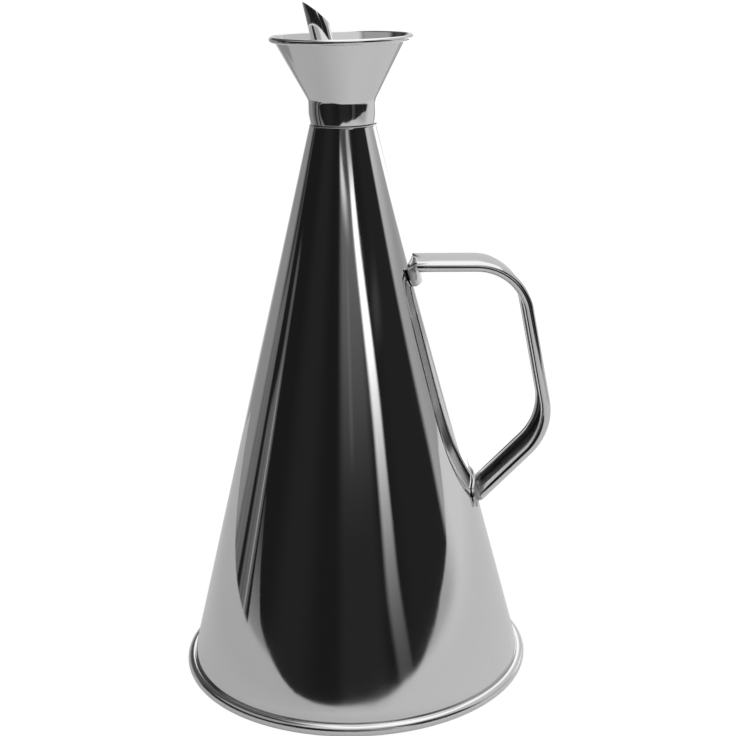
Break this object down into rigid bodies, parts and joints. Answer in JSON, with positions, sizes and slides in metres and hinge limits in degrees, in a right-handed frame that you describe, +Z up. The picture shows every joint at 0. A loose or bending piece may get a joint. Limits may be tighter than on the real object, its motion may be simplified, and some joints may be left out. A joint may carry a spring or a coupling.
{
  "type": "oil can",
  "caption": "Conical stainless steel oil can with a strap handle and a lift-off funnel head that carries a leaning, slant-cut pouring spout.",
  "frame": {"origin": "on the can's axis, in the plane that it stands on", "axes": "+Z up along the can's axis, +X towards the handle, -Y towards the viewer"},
  "size_m": [0.1494, 0.14, 0.2658],
  "materials": {
    "polished_steel": "mirror polished",
    "satin_steel": "satin",
    "seal_silicone": "matt"
  },
  "bodies": {
    "can": {"body_cone": "polished_steel", "base_plate": "polished_steel", "neck_ferrule": "satin_steel", "handle_strap": "polished_steel"},
    "seal": {"stopper_seal": "seal_silicone"},
    "head": {"funnel": "polished_steel", "stopper_cup": "satin_steel", "spout_tube": "polished_steel", "spout_solder": "satin_steel"}
  },
  "joints": [
    {"name": "head_lift", "type": "slide", "parent": "can", "child": "seal", "axis": [0, 0, 1], "range_m": [0, 0.06]},
    {"name": "head_turn", "type": "hinge", "parent": "seal", "child": "head", "pos_m": [0, 0, 0.2208], "axis": [0, 0, 1], "continuous": true}
  ]
}
